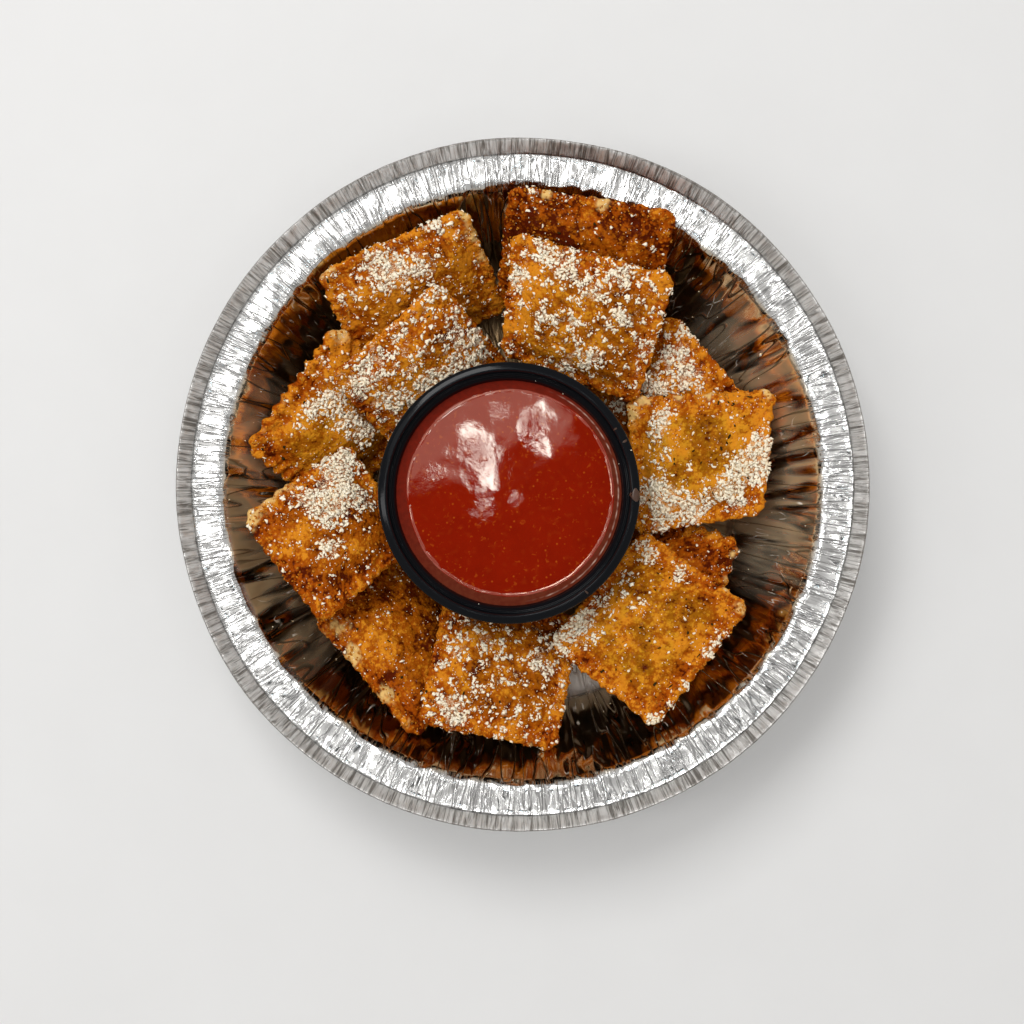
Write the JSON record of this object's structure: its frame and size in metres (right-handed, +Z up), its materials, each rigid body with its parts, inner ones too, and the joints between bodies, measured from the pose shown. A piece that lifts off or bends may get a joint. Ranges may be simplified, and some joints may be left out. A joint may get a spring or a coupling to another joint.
{
  "type": "breaded ravioli in foil pan with sauce cup",
  "caption": "Crisp breaded square ravioli with grated hard cheese, leaning in a round foil take-out pan around a black plastic cup of tomato sauce.",
  "frame": {"origin": "centre of the pan's base, on the surface that the pan stands on", "axes": "+Z up out of the pan; +Y towards the two ravioli that overlap at the back of the pan; the sauce cup sits a little to -X and -Y of the middle"},
  "size_m": [0.2, 0.2, 0.0489],
  "materials": {
    "foil": "pressed foil, bright and finely wrinkled",
    "black_plastic": "smooth black plastic with a soft gloss",
    "tomato_sauce": "wet, glossy, slightly lumpy tomato sauce",
    "breading": "fried crumb crust, golden to orange brown, with a slight oil gloss",
    "grated_cheese": "dry, pale cream grated hard cheese",
    "dried_herbs": "dry dark green-brown flakes"
  },
  "bodies": {
    "root": {"pan": "foil", "cup": "black_plastic", "sauce": "tomato_sauce", "ravioli_01": "breading", "ravioli_02": "breading", "ravioli_03": "breading", "ravioli_04": "breading", "ravioli_05": "breading", "ravioli_06": "breading", "ravioli_07": "breading", "ravioli_08": "breading", "ravioli_09": "breading", "ravioli_10": "breading", "ravioli_11": "breading", "ravioli_12": "breading"}
  },
  "joints": []
}
